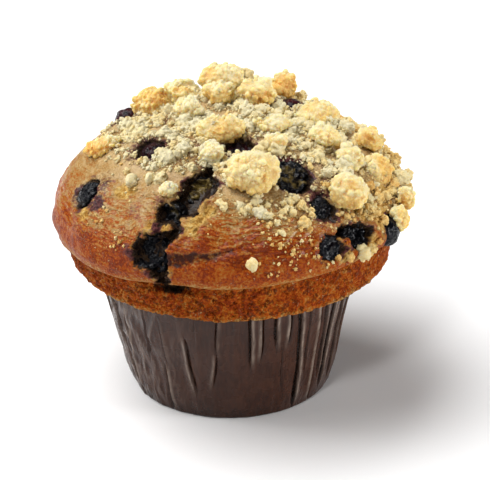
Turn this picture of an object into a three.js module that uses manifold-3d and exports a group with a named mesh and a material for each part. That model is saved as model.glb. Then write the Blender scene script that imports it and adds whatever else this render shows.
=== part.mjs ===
// A large bakery muffin with berries and a crumble topping, standing in its pleated paper case.
// Millimetres, +Z up. The origin is the centre of the case's flat base, and the front faces -Y.
// Azimuths are in degrees from +X towards +Y, so -90 is the front. A place on the crown is given
// by its azimuth and how far down it lies: 0 at the apex, 1 at the widest ring.
import * as THREE from "three";
import { mergeVertices } from "three/addons/utils/BufferGeometryUtils.js";
import Module from "manifold-3d";

const wasm = await Module();
wasm.setup();

// ---- Driving dimensions ----
const CLEARANCE = 0.35; // between pieces that touch

const CASE_HEIGHT = 37.2;
const CASE_BASE_RADIUS = 27; // of the side, carried down to the floor
const CASE_FLARE = 8; // how much wider the rim is than the base
const CASE_FLARE_POWER = 1.7; // over 1, the side spreads fastest near the base
const CASE_WALL = 1.5; // from the ridges of the pleats to the smooth inside
const CASE_FLOOR = 1;
const CASE_CORNER = 0.9; // the turn from the base to the side
const PLEATS = 42;
const PLEAT_COLUMNS = 3; // two ridges and the valley between them
const PLEAT_DEPTH = [0.55, 1.05]; // shallowest and deepest valley
const PLEAT_LEAN = 2.5; // degrees, the most that a pleat leans either way
const PLEAT_SLIDE = 1.2; // degrees, the most that a pleat is out of step

const CROWN_RADIUS = 47.4;
const APEX_HEIGHT = 74.5;
const ROUND_ACROSS = 2.35; // superellipse powers of the crown
const ROUND_UP = 1.95;
const LEDGE_HEIGHT = 47; // mean height of the crust's rolled edge
const LEDGE_RADIUS = 45.3;
const LEDGE_TO_WIDEST = 3.6;
const LEDGE_TILT = 2.3; // the edge climbs by this much towards LEDGE_HIGH_SIDE
const LEDGE_HIGH_SIDE = -35;
const BURST_LIFT = 1.2; // and lifts over the burst berry at BURST_SIDE
const BURST_SIDE = -110;
const BURST_SPREAD = 12;
const BAND_TOP_RADIUS = 43.9; // the porous band below the edge, shaped by the tin
const BAND_FOOT_RADIUS = 42.8;
const BAND_FOOT_ROUND = 0.9;
const UNDERSIDE_HEIGHT = CASE_HEIGHT + 0.5;
const HILL_HEIGHT = 0.55; // of the low hills over the crust
const AROUND = 56; // columns round the muffin
const CASE_RINGS = [3.5, 12, 24]; // heights between the case's corner and its rim
const CROWN_RINGS = [1, 0.92, 0.84, 0.75, 0.66, 0.56, 0.46, 0.36, 0.26, 0.16, 0.07];

// The crack that runs down through the burst berries, seen from above.
const CRACK_PATH = [
  [-6.5, -27],
  [-15, -35.5],
  [-14.3, -40.5],
  [-18.8, -42.1],
  [-16.2, -44.8],
];
const CRACK_HALF_WIDTH = 2.6;
const CRACK_DEPTH = 2.2;

// Berries: [azimuth, down, half size, flatness, height of the centre above the crust].
const BERRIES = [
  [-153.5, 0.64, 4.4, 0.9, -1.9],
  [-113, 0.575, 4.2, 0.9, -1.2],
  [-105, 0.395, 4.9, 0.75, -1.7],
  [-115, 0.83, 5.8, 0.7, -1.9],
  [-57, 0.375, 6.0, 0.8, -2.6],
  [-56, 0.87, 3.9, 0.9, -2.0],
  [-44, 0.85, 4.2, 0.8, -2.9],
  [-26, 1.0, 4.4, 0.9, -1.8],
  [151, 0.44, 3.8, 0.95, -0.6],
  [-149, 0.28, 3.8, 0.9, -2.2],
  [-79, 0.15, 4.4, 0.8, -2.6],
  [44, 0.28, 3.6, 0.9, -2.0],
  [-52.5, 0.6, 3.9, 0.9, -2.6],
  [98, 0.72, 4.6, 0.9, -2.0],
  [66, 0.9, 4.2, 0.9, -2.4],
  [128, 0.88, 4.8, 0.8, -2.6],
  [28, 0.84, 4.2, 0.9, -2.2],
];
const BERRY_LUMPS = 0.035; // share of its size that a berry's skin rises and dips

// Crumble: [azimuth, down, half width, half depth, half height, height of the centre].
const CRUMBLE = [
  [-79, 0.37, 7.0, 6.2, 5.4, 2.4],
  [-41, 0.6, 5.7, 5.4, 4.8, 2.4],
  [141, 0.34, 5.8, 5.2, 4.8, 2.4],
  [94, 0.3, 6.6, 5.2, 4.4, 4.0],
  [60, 0.15, 5.4, 5.0, 4.2, 2.8],
  [57, 0.34, 3.8, 3.8, 3.7, 3.6],
  [-105, 0.08, 6.0, 4.2, 3.4, 2.2],
  [104, 0.13, 4.0, 3.8, 3.5, 3.0],
  [24, 0.33, 6.4, 5.4, 3.8, 1.4],
  [4, 0.53, 3.9, 3.6, 3.4, 1.8],
  [-9, 0.65, 4.6, 5.4, 3.4, 1.2],
  [-22, 0.93, 3.7, 3.3, 2.8, 1.4],
  [-14, 0.85, 3.2, 3.0, 2.8, 1.6],
  [-174, 0.46, 5.0, 3.2, 2.4, 1.2],
  [-103, 0.235, 3.5, 3.2, 2.9, 1.7],
  [127, 0.27, 4.4, 3.4, 3.1, 2.2],
  [156, 0.13, 4.4, 3.6, 2.7, 1.8],
  [-18, 0.13, 4.6, 3.6, 2.7, 1.7],
  [-14, 0.32, 4.6, 4.2, 2.8, 1.4],
  [-117, 0.46, 3.1, 1.9, 1.8, 1.4],
  [-22, 0.46, 4.0, 4.0, 2.4, 1.2],
  [75, 0.52, 5.2, 4.4, 3.4, 1.6],
  [112, 0.5, 4.4, 3.8, 3.4, 1.8],
  [50, 0.66, 4.6, 4.2, 3.4, 1.8],
  [118, 0.7, 4.4, 3.8, 3.2, 1.6],
  [84, 0.86, 3.8, 3.2, 3.0, 1.8],
  [-50, 0.215, 3.6, 3.2, 2.7, 1.4],
];
const CRUMBLE_LUMPS = 0.085;
const FINE_FROM = { berry: 4.8, crumble: 6.5 }; // half sizes that get a finer ball

// Crumbs baked onto the crust: the ones that stand alone, as [azimuth, down, half size], and
// how many more are strewn, thickest on top and towards CRUMB_SIDE.
const LONE_CRUMBS = [
  [-83, 0.875, 2.1],
  [-137, 0.465, 2.5],
  [-128.5, 0.425, 2.2],
  [-86, 0.512, 1.8],
  [-66, 0.6, 1.5],
  [-72, 0.7, 1.3],
];
const STREWN_CRUMBS = 28;
const STREWN_SIZES = [1.1, 2.3];
const CRUMB_SIDE = 40;
const CRUMB_GAP = 1.2; // times a crumb's half size, kept clear round it
const CRUMB_REACH = [0.35, 0.75]; // how far down crumbs lie on the bare side and on CRUMB_SIDE

const rad = THREE.MathUtils.degToRad;
const { smoothstep, lerp, clamp, euclideanModulo } = THREE.MathUtils;

// ---- Tools ----
// A seeded draw between 0 and 1, the same at every build.
function draws(seed) {
  let state = seed;
  return () => {
    state = (state * 1664525 + 1013904223) % 4294967296;
    return state / 4294967296;
  };
}

// Drops all but the positions, merges shared vertices and moves each one.
function sculpt(geometry, move = () => {}) {
  geometry.deleteAttribute("normal");
  geometry.deleteAttribute("uv");
  const merged = mergeVertices(geometry, 1e-4);
  const place = merged.attributes.position;
  const point = new THREE.Vector3();
  for (let i = 0; i < place.count; i++) {
    move(point.fromBufferAttribute(place, i));
    place.setXYZ(i, point.x, point.y, point.z);
  }
  return merged;
}

// A profile of [radius, height] pairs, from the foot up, turned round +Z.
function turned(profile, columns) {
  const points = profile.map(([radius, height]) => new THREE.Vector2(radius, height));
  return new THREE.LatheGeometry(points, columns).rotateX(Math.PI / 2);
}

function solid(geometry) {
  return new wasm.Manifold(
    new wasm.Mesh({
      numProp: 3,
      vertProperties: geometry.attributes.position.array,
      triVerts: new Uint32Array(geometry.index.array),
    }),
  );
}

function geometryOf(manifold) {
  const mesh = manifold.getMesh();
  return new THREE.BufferGeometry()
    .setAttribute("position", new THREE.BufferAttribute(mesh.vertProperties, 3))
    .setIndex(new THREE.BufferAttribute(mesh.triVerts, 1));
}

function largestPiece(manifold) {
  return manifold.decompose().reduce((a, b) => (a.volume() > b.volume() ? a : b));
}

// 1 on a line and falling off to both sides of it.
function ridge(distance, spread) {
  return Math.exp(-((distance / spread) ** 2));
}

function polar(radius, angle, height) {
  return new THREE.Vector3(radius * Math.cos(angle), radius * Math.sin(angle), height);
}

// ---- Paper case ----
function caseRadius(height) {
  return CASE_BASE_RADIUS + CASE_FLARE * (1 - (1 - height / CASE_HEIGHT) ** CASE_FLARE_POWER);
}

function pleated(geometry) {
  const columns = PLEATS * PLEAT_COLUMNS;
  const draw = draws(7);
  const pleats = Array.from({ length: PLEATS }, () => ({
    depth: lerp(...PLEAT_DEPTH, draw()),
    lean: rad(PLEAT_LEAN) * (2 * draw() - 1),
    slide: rad(PLEAT_SLIDE) * (2 * draw() - 1),
  }));
  return sculpt(geometry, (p) => {
    const onAxis = p.x ** 2 + p.y ** 2 < 1;
    if (onAxis || p.z < CASE_CORNER) return;
    const angle = Math.atan2(p.y, p.x);
    const column = Math.round(euclideanModulo(angle / (2 * Math.PI), 1) * columns) % columns;
    const { depth, lean, slide } = pleats[Math.floor(column / PLEAT_COLUMNS)];
    const up = p.z / CASE_HEIGHT;
    const isValley = column % PLEAT_COLUMNS === 1;
    const radius = Math.hypot(p.x, p.y) - (isValley ? depth * smoothstep(up, 0, 0.45) : 0);
    p.copy(polar(radius, angle + slide + lean * (2 * up - 1), p.z));
  });
}

function paperCase() {
  const rims = [...CASE_RINGS, CASE_HEIGHT];
  const outside = turned(
    [
      [0, 0],
      [CASE_BASE_RADIUS - CASE_CORNER, 0],
      ...[CASE_CORNER, ...rims].map((z) => [caseRadius(z), z]),
      [0, CASE_HEIGHT],
    ],
    PLEATS * PLEAT_COLUMNS,
  );
  const hollow = turned(
    [
      [0, CASE_FLOOR],
      ...[CASE_FLOOR, ...rims].map((z) => [caseRadius(z) - CASE_WALL, z]),
      [caseRadius(CASE_HEIGHT) - CASE_WALL, CASE_HEIGHT + CASE_WALL],
      [0, CASE_HEIGHT + CASE_WALL],
    ],
    PLEATS,
  );
  return solid(pleated(outside)).subtract(solid(sculpt(hollow)));
}

// ---- Muffin ----
// How much higher than LEDGE_HEIGHT the rolled edge lies at an angle.
function ledgeRise(angle) {
  const turn = angle - rad(BURST_SIDE);
  const fromBurst = Math.atan2(Math.sin(turn), Math.cos(turn));
  const tilt = LEDGE_TILT * Math.cos(angle - rad(LEDGE_HIGH_SIDE));
  return tilt + BURST_LIFT * ridge(fromBurst, rad(BURST_SPREAD));
}

// The uneven spread of the batter, as a factor on the crown's radius.
function swell(angle) {
  return 1 + 0.008 * Math.sin(2 * angle - 0.52) + 0.006 * Math.sin(3 * angle + 2.41);
}

function hills({ x, y }) {
  const broad = Math.sin(x / 6.2 + 1.3) * Math.cos(y / 5.3 - 0.4);
  const middling = Math.sin(x / 3.2 - y / 4.3 + 0.9);
  const small = Math.cos(x / 4.5 + y / 2.4 + 2.1);
  return HILL_HEIGHT * (broad + 0.6 * middling + 0.4 * small);
}

function crackDepth({ x, y }) {
  const point = new THREE.Vector3(x, y, 0);
  const corners = CRACK_PATH.map(([cx, cy]) => new THREE.Vector3(cx, cy, 0));
  const distances = corners.slice(1).map((corner, i) => {
    const stretch = new THREE.Line3(corners[i], corner);
    return stretch.closestPointToPoint(point, true, new THREE.Vector3()).distanceTo(point);
  });
  return CRACK_DEPTH * ridge(Math.min(...distances), CRACK_HALF_WIDTH);
}

// Turns a point of the plain round profile into one of the risen muffin. `grow` thickens it.
const GROWS_FROM = new THREE.Vector3(0, 0, 40);

function risen(angle, radius, height, grow = 0) {
  const isCrust = height > LEDGE_HEIGHT;
  const share = isCrust
    ? (APEX_HEIGHT - height) / (APEX_HEIGHT - LEDGE_HEIGHT)
    : (height - UNDERSIDE_HEIGHT) / (LEDGE_HEIGHT - UNDERSIDE_HEIGHT);
  const spread = 1 + (swell(angle) - 1) * smoothstep(height, UNDERSIDE_HEIGHT, LEDGE_HEIGHT);
  const point = polar(radius * spread, angle, height + ledgeRise(angle) * share);
  const out = point.clone().sub(GROWS_FROM).normalize();
  const crusty = smoothstep(height, LEDGE_HEIGHT, LEDGE_HEIGHT + 3 * LEDGE_TO_WIDEST);
  const cracked = smoothstep(height, LEDGE_HEIGHT, LEDGE_HEIGHT + LEDGE_TO_WIDEST);
  return point.addScaledVector(out, hills(point) * crusty - crackDepth(point) * cracked + grow);
}

function crownProfile(down) {
  const q = ((1 - clamp(down, 0, 1)) * Math.PI) / 2;
  const widest = LEDGE_HEIGHT + LEDGE_TO_WIDEST;
  const radius = CROWN_RADIUS * Math.cos(q) ** (2 / ROUND_ACROSS);
  return [radius, widest + (APEX_HEIGHT - widest) * Math.sin(q) ** (2 / ROUND_UP)];
}

function onCrust(angle, down) {
  return risen(angle, ...crownProfile(down));
}

function muffinBody(grow = 0) {
  const stem = [CASE_FLOOR + CLEARANCE, ...CASE_RINGS, UNDERSIDE_HEIGHT].map((z) => [
    caseRadius(Math.min(z, CASE_HEIGHT)) - CASE_WALL - CLEARANCE,
    z,
  ]);
  const band = [
    [BAND_FOOT_RADIUS - BAND_FOOT_ROUND, UNDERSIDE_HEIGHT],
    [BAND_FOOT_RADIUS, UNDERSIDE_HEIGHT + BAND_FOOT_ROUND],
    [lerp(BAND_FOOT_RADIUS, BAND_TOP_RADIUS, 0.5), lerp(UNDERSIDE_HEIGHT, LEDGE_HEIGHT, 0.6)],
    [BAND_TOP_RADIUS, LEDGE_HEIGHT - 0.4],
    [LEDGE_RADIUS, LEDGE_HEIGHT],
    [lerp(LEDGE_RADIUS, CROWN_RADIUS, 0.72), LEDGE_HEIGHT + LEDGE_TO_WIDEST * 0.35],
  ];
  const crown = CROWN_RINGS.map(crownProfile);
  const profile = [[0, stem[0][1]], ...stem, ...band, ...crown, [0, APEX_HEIGHT]];
  return solid(
    sculpt(turned(profile, AROUND), (p) => {
      if (p.z < UNDERSIDE_HEIGHT + BAND_FOOT_ROUND / 2) return;
      p.copy(risen(Math.atan2(p.y, p.x), Math.hypot(p.x, p.y), p.z, grow));
    }),
  );
}

// ---- Berries, crumble and crumbs ----
// A ball with waves in its skin, `halves` half as large along X, Y and Z.
function ball(detail, halves, lumps, seed) {
  return sculpt(new THREE.IcosahedronGeometry(1, detail), (p) => {
    const crossing = Math.sin(3.4 * p.x + seed) * Math.sin(3.7 * p.y + 2.3 * seed);
    const level = 0.7 * Math.sin(3.1 * p.z - 1.7 * seed);
    p.multiplyScalar(1 + lumps * (crossing + level)).multiply(halves);
  });
}

// Tips a ball so that its own +Z leaves the crust, and sets it `lift` above the crust.
function laid(geometry, azimuth, down, lift, spin = 0) {
  const angle = rad(azimuth);
  const step = 0.02;
  const sideways = onCrust(angle + step, down).sub(onCrust(angle - step, down));
  const upwards = onCrust(angle, down - step).sub(onCrust(angle, down + step));
  const out = sideways.cross(upwards).normalize();
  const tip = new THREE.Quaternion().setFromUnitVectors(new THREE.Vector3(0, 0, 1), out);
  const seat = onCrust(angle, down).addScaledVector(out, lift);
  return geometry.rotateZ(spin).applyQuaternion(tip).translate(seat.x, seat.y, seat.z);
}

function berry([azimuth, down, half, flatness, lift], index, grow = 0) {
  const halves = new THREE.Vector3(half, half * 0.94, half * flatness).addScalar(grow);
  const detail = half > FINE_FROM.berry ? 2 : 1;
  return solid(laid(ball(detail, halves, BERRY_LUMPS, index), azimuth, down, lift, index));
}

function crumbleLump([azimuth, down, width, depth, height, lift], index, grow = 0) {
  const halves = new THREE.Vector3(width, depth, height).addScalar(grow);
  const detail = width > FINE_FROM.crumble ? 2 : 1;
  return solid(laid(ball(detail, halves, CRUMBLE_LUMPS, index), azimuth, down, lift));
}

function crumb([azimuth, down, half], index) {
  const halves = new THREE.Vector3(half, half * 0.85, half * 0.8);
  return solid(laid(ball(0, halves, CRUMBLE_LUMPS, index), azimuth, down, half * 0.3, index));
}

function strewnCrumbs() {
  const draw = draws(23);
  const places = [...LONE_CRUMBS];
  const taken = [
    ...BERRIES.map(([azimuth, down, half]) => [onCrust(rad(azimuth), down), half]),
    ...CRUMBLE.map(([azimuth, down, width]) => [onCrust(rad(azimuth), down), width]),
    ...LONE_CRUMBS.map(([azimuth, down, half]) => [onCrust(rad(azimuth), down), half]),
  ];
  while (places.length < LONE_CRUMBS.length + STREWN_CRUMBS) {
    const azimuth = 360 * draw();
    const down = Math.sqrt(draw());
    const half = lerp(...STREWN_SIZES, draw() ** 2);
    const reach = lerp(...CRUMB_REACH, 0.5 + 0.5 * Math.cos(rad(azimuth - CRUMB_SIDE)));
    const point = onCrust(rad(azimuth), down);
    const isFree = taken.every(([other, size]) => other.distanceTo(point) > size + half * CRUMB_GAP);
    if (down > reach || !isFree) continue;
    taken.push([point, half * CRUMB_GAP]);
    places.push([azimuth, down, half]);
  }
  return places;
}

// ---- Assembly ----
const berries = BERRIES.map((row, i) => berry(row, i));
const pockets = wasm.Manifold.union(BERRIES.map((row, i) => berry(row, i, CLEARANCE)));
const crumbs = strewnCrumbs().map(crumb);
const muffin = largestPiece(wasm.Manifold.union([muffinBody(), ...crumbs]).subtract(pockets));

// Each lump of crumble is cut back from the crust, the berries and the lumps before it.
let placed = muffinBody(CLEARANCE).add(pockets);
const lumps = CRUMBLE.map((row, i) => {
  const lump = largestPiece(crumbleLump(row, i).subtract(placed));
  placed = placed.add(crumbleLump(row, i, CLEARANCE));
  return lump;
});

const part = new THREE.Group();

function place(name, manifold, material) {
  const mesh = new THREE.Mesh(geometryOf(manifold), material);
  mesh.name = name;
  part.add(mesh);
}

function placeAll(name, manifolds, material) {
  manifolds.forEach((manifold, i) => {
    place(name + String(i + 1).padStart(2, "0"), manifold, material);
  });
}

const finish = (color, roughness) => new THREE.MeshStandardMaterial({ color, roughness });
place("paper_case", paperCase(), finish(0x4a362d, 0.45));
place("muffin", muffin, finish(0xb4703a, 0.7));
placeAll("berry_", berries, finish(0x1d1720, 0.35));
placeAll("crumble_", lumps, finish(0xe3c888, 0.85));

export default part;
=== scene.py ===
"""A large bakery muffin with berries and a crumble topping, standing in its pleated paper case.

Blender works in metres. The shapes below are worked out in millimetres and scaled by MM when they
are written to a mesh. The front of the muffin faces -Y, at an azimuth of -90 degrees.
"""
from math import cos, pi, radians, sin, tau

import bpy
import numpy as np
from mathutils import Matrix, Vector, noise


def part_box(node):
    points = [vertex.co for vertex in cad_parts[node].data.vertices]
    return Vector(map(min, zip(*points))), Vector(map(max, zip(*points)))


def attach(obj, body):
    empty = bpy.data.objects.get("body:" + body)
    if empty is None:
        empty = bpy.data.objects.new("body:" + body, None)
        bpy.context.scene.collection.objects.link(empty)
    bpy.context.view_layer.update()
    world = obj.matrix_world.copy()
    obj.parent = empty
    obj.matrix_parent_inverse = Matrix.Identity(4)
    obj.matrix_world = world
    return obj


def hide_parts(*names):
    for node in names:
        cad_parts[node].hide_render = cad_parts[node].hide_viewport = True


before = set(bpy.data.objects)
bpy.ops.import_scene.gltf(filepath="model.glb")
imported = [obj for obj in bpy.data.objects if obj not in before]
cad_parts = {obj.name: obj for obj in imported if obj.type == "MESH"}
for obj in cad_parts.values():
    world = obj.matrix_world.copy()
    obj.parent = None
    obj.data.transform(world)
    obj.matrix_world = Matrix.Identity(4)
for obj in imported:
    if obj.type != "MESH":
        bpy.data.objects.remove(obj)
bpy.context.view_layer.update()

MM = 0.001

# ---- Camera, table and light ----
# The muffin stands on a white table top and is seen from 27 degrees above it through a long lens.
# Two soft lamps at the left, one high and one low, throw the shadow to the right. A small one over
# the camera gives the berries their glints, and a low one at the right lights the folds of the case.
CAMERA_AIM = Vector((0.004, 0, 0.0395))
CAMERA_AWAY = 0.68
CAMERA_ELEVATION = radians(27)
CAMERA_LENS = 185.88
TABLE_SIZE = 8
TABLE_DROP = 0.02  # keeps the table top clear of the flat base of the case
TABLE_COLOUR = (0.93, 0.93, 0.93, 1)
ROOM_LIGHT = 0.03
LAMPS = [
    # name, azimuth, elevation, distance, width and height in metres, watts
    ("key_lamp", 163, 66, 1.2, 1.1, 0.9, 21),
    ("left_lamp", 184, 22, 1.2, 0.7, 0.5, 4),
    ("spark_lamp", -108, 46, 1.2, 0.16, 0.16, 3),
    ("right_lamp", -14, 9, 1.2, 0.4, 0.3, 11),
]


def toward(azimuth, elevation):
    """The way to a lamp, given in degrees, as a vector of length 1."""
    level = cos(radians(elevation))
    return Vector((level * cos(radians(azimuth)), level * sin(radians(azimuth)), sin(radians(elevation))))


bpy.ops.object.camera_add(
    location=CAMERA_AIM + CAMERA_AWAY * Vector((0, -cos(CAMERA_ELEVATION), sin(CAMERA_ELEVATION))),
    rotation=(pi / 2 - CAMERA_ELEVATION, 0, 0),
)
camera = bpy.context.object
camera.data.lens = CAMERA_LENS
bpy.context.scene.camera = camera
bpy.context.scene.view_settings.view_transform = "Standard"

for lamp_name, azimuth, elevation, distance, width, height, watts in LAMPS:
    way = toward(azimuth, elevation)
    bpy.ops.object.light_add(type="AREA", location=CAMERA_AIM + distance * way)
    lamp = bpy.context.object
    lamp.name = lamp_name
    lamp.rotation_euler = way.to_track_quat("Z", "Y").to_euler()
    lamp.data.shape = "RECTANGLE"
    lamp.data.size = width
    lamp.data.size_y = height
    lamp.data.energy = watts

room = bpy.data.worlds.new("room")
room.use_nodes = True
room.node_tree.nodes["Background"].inputs["Color"].default_value = (1, 1, 1, 1)
room.node_tree.nodes["Background"].inputs["Strength"].default_value = ROOM_LIGHT
bpy.context.scene.world = room

bpy.ops.mesh.primitive_plane_add(size=TABLE_SIZE, location=(0, 0, -TABLE_DROP * MM))
table = bpy.context.object
table.name = "table"
table_finish = bpy.data.materials.new("white_table")
table_finish.use_nodes = True
table_skin = table_finish.node_tree.nodes["Principled BSDF"]
table_skin.inputs["Base Color"].default_value = TABLE_COLOUR
table_skin.inputs["Roughness"].default_value = 1
table_skin.inputs["Specular IOR Level"].default_value = 0
table.data.materials.append(table_finish)

# ---- Paper case ----
# A case of dark brown greaseproof paper, pressed from one disc: the base stays flat, and the spare
# paper of the side is gathered in folds. The folds are sharp slits between flat panels, closest at
# the right, where it is also pressed in, and the paper at the left is crumpled from being held.
CASE_HEIGHT = 37.2
CASE_BASE_RADIUS = 27
CASE_FLARE = 8
CASE_FLARE_POWER = 1.7
CASE_CORNER = 0.9
CORNER_REACH = 0.4  # how much wider the case is at the top of its rounded corner
BASE_RINGS = (8, 16, 22)
CASE_COLUMNS = 1200
CASE_ROWS = 33
PAPER_THICKNESS = 0.22
PANEL_SINK = 0.5  # from the pressed size to the middle of a panel
DEEPEST_FOLD = 1.55
TUCK = 0.46  # how far a panel stands over the next one, as a share of the fold's depth
FOLDS = [
    # azimuth at the rim and at the foot, highest and lowest end, depth, width
    (-161, -145, 34, 3, 1, 0.19),
    (-145, -147.5, 37, 1, 1.1, 0.2),
    (-141.5, -139, 23, 1, 0.6, 0.15),
    (-133, -131, 37, 16, 0.4, 0.13),
    (-124.5, -119, 30, 13, 0.6, 0.13),
    (-121.5, -123.5, 16, 0.5, 1.1, 0.25),
    (-114, -105, 26, 8, 1.1, 0.16),
    (-105.5, -104, 37, 26, 0.3, 0.15),
    (-95.8, -95.5, 36, 22, 0.7, 0.12),
    (-94, -99.5, 21.5, 11, 1, 0.14),
    (-88, -88, 37, 29, 0.2, 0.18),
    (-81.3, -78, 37, 18, 1.1, 0.14),
    (-75.6, -75, 37, 20, 1.1, 0.16),
    (-69, -67, 37, 23, 1.1, 0.16),
    (-66.3, -61.8, 24, 7, 0.35, 0.12),
    (-62.3, -61, 37, 23, 1.25, 0.29),
    (-57, -53, 37, 1, 1.3, 0.25),
    (-51.5, -49, 37, 12, 0.5, 0.13),
    (-45.5, -41, 37, 0.5, 1.3, 0.25),
    (-40.5, -37, 37, 8, 0.9, 0.16),
    (-35.3, -33.5, 37, 4, 1.3, 0.24),
    (-30, -32.5, 37, 10, 1, 0.18),
]
FOLD_WANDER = (0.22, 0.09)  # how far a fold strays sideways, in long and in short waves
FOLD_OPENING = (-2, 5)  # it opens from this far below to this far above its lowest end
FOLD_CLOSING = (-3, 2)  # and closes in the same way round its highest end
LEANING_WALL = 1.4  # how much wider the wall that leans is than the steep one
FOLDS_BEHIND = (-26, 192)  # from here on round the back the folds are drawn by chance
FOLD_SPACING = (5.5, 10.5)
FOLD_TOP = 37
FOLD_LEAN = 4
FOLD_DEPTHS = (0.7, 1.3)
FOLD_WIDTHS = (0.15, 0.32)
LONG_FOLDS = 0.55  # the share of them that run down to the foot
LONG_FOLD_ENDS = (0, 5)
SHORT_FOLD_ENDS = (8, 24)
CRUMPLED_SIDE = (-152, 30)  # azimuth and spread
PRESSED_SIDE = (-5, 45)
PRESSED_HEIGHT = (21, 11)  # height and spread
CASE_PRESS = 1.2
CHORD = 0.85  # how straight the paper runs from fold to fold, where 1 is quite straight
FLAT_WAVES = (0.06, 0.22)  # how high the sharp and the soft waves of the flat panels are
CRUMPLED_WAVES = (0.44, 0.05)  # and how much higher they are on the crumpled side
FOOT_DARKENING = 0.60  # how much darker the paper is towards the foot
FOOT_OUT = 0.7  # how much wider the foot stands, fading out up to FOOT_FADE
FOOT_FADE = 16
MEAN_RADIUS = 33  # turns an angle into a length of paper
WELD = 0.01
CROWDING = 0.3
PAPER_HIGHLIGHT_COLOUR = (0.250, 0.190, 0.150, 1)  # painted highlight: fold edges and crumpled ridges painted paler, for the paper's sheen
# painted shade: the near-black of the deep fold slits
SLIT_SHADE_COLOUR = (0.012, 0.006, 0.004, 1)
PAPER_COLOURS = [(0.2, (0.029, 0.0075, 0.0024, 1)), (0.8, (0.047, 0.0140, 0.0052, 1))]


def pick(*pieces):
    """Selects the pieces, and nothing else. The last one is the active one."""
    bpy.ops.object.select_all(action="DESELECT")
    for piece in pieces:
        piece.select_set(True)
    bpy.context.view_layer.objects.active = pieces[-1]


def linked(name, mesh):
    """A new piece made of the mesh, and picked."""
    piece = bpy.data.objects.new(name, mesh)
    bpy.context.scene.collection.objects.link(piece)
    pick(piece)
    return piece


def modified(piece, kind, **settings):
    """Gives the piece a modifier, sets it and applies it."""
    pick(piece)
    bpy.ops.object.modifier_add(type=kind)
    modifier = piece.modifiers[-1]
    for name, value in settings.items():
        setattr(modifier, name, value)
    bpy.ops.object.modifier_apply(modifier=modifier.name)


def rows_of(items, name, width=3):
    """One property of all the vertices or faces of a mesh, as rows of numbers."""
    flat = np.empty(len(items) * width, np.float32)
    items.foreach_get(name, flat)
    return flat.reshape(-1, width).astype(float)


def corners(piece):
    """The piece's vertices in millimetres."""
    return rows_of(piece.data.vertices, "co") / MM


def move_corners(piece, places):
    """Puts the piece's vertices at these places, in millimetres."""
    piece.data.vertices.foreach_set("co", (places * MM).astype(np.float32).ravel())
    piece.data.update()


def paint(piece, name, values):
    """Keeps a number for each vertex, which the finish reads by name."""
    layer = piece.data.attributes.new(name, "FLOAT", "POINT")
    layer.data.foreach_set("value", np.asarray(values, np.float32))


def paint_vectors(piece, name, vectors):
    """Keeps a vector for each vertex."""
    layer = piece.data.attributes.new(name, "FLOAT_VECTOR", "POINT")
    layer.data.foreach_set("vector", np.asarray(vectors, np.float32).ravel())


def smooth(value, low, high):
    """0 below low, 1 above high, and a smooth climb from one to the other."""
    share = np.clip((np.asarray(value, float) - low) / (high - low), 0, 1)
    return share * share * (3 - 2 * share)


def around(angle, middle):
    """How far an angle in degrees is from another one, from -180 to 180."""
    return (np.asarray(angle) - middle + 180) % 360 - 180


def hump(value, middle, half):
    """1 at the middle, falling off to both sides."""
    return np.exp(-(((value - middle) / half) ** 2))


def facing(angle, side, spread):
    """1 on the side at this azimuth, falling off to the left and the right of it."""
    return hump(around(angle, side), 0, spread)


def pressed_in(angle, height):
    """How far the right side is pressed in, from 0 to 1."""
    return facing(angle, *PRESSED_SIDE) * hump(height, *PRESSED_HEIGHT)


def rough(places, size, octaves=3, seed=0):
    """Uneven noise between about -1 and 1, with bumps of the given size in millimetres."""
    shift = Vector((17.3, 5.1, 9.7)) * seed
    scaled = (places / size).tolist()
    return np.array([noise.fractal(Vector(place) + shift, 1, 2, octaves) for place in scaled])


def turned(name, profile, columns):
    """Spins a profile of radii and heights round the Z axis, closed at both poles."""
    mesh = bpy.data.meshes.new(name)
    ends = [(i, i + 1) for i in range(len(profile) - 1)]
    mesh.from_pydata([(radius * MM, 0, height * MM) for radius, height in profile], ends, [])
    piece = linked(name, mesh)
    modified(
        piece,
        "SCREW",
        angle=tau,
        steps=columns,
        render_steps=columns,
        use_merge_vertices=True,
        merge_threshold=WELD * MM,
    )
    bpy.ops.object.mode_set(mode="EDIT")
    bpy.ops.mesh.select_all(action="SELECT")
    bpy.ops.mesh.remove_doubles(threshold=WELD * MM)
    bpy.ops.mesh.normals_make_consistent(inside=False)
    bpy.ops.object.mode_set(mode="OBJECT")
    bpy.ops.object.shade_smooth()
    return piece


def crowd_to_front(angle):
    """Brings the columns of a turned piece closer together at the front, in radians."""
    return angle - CROWDING * np.cos(angle)


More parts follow.
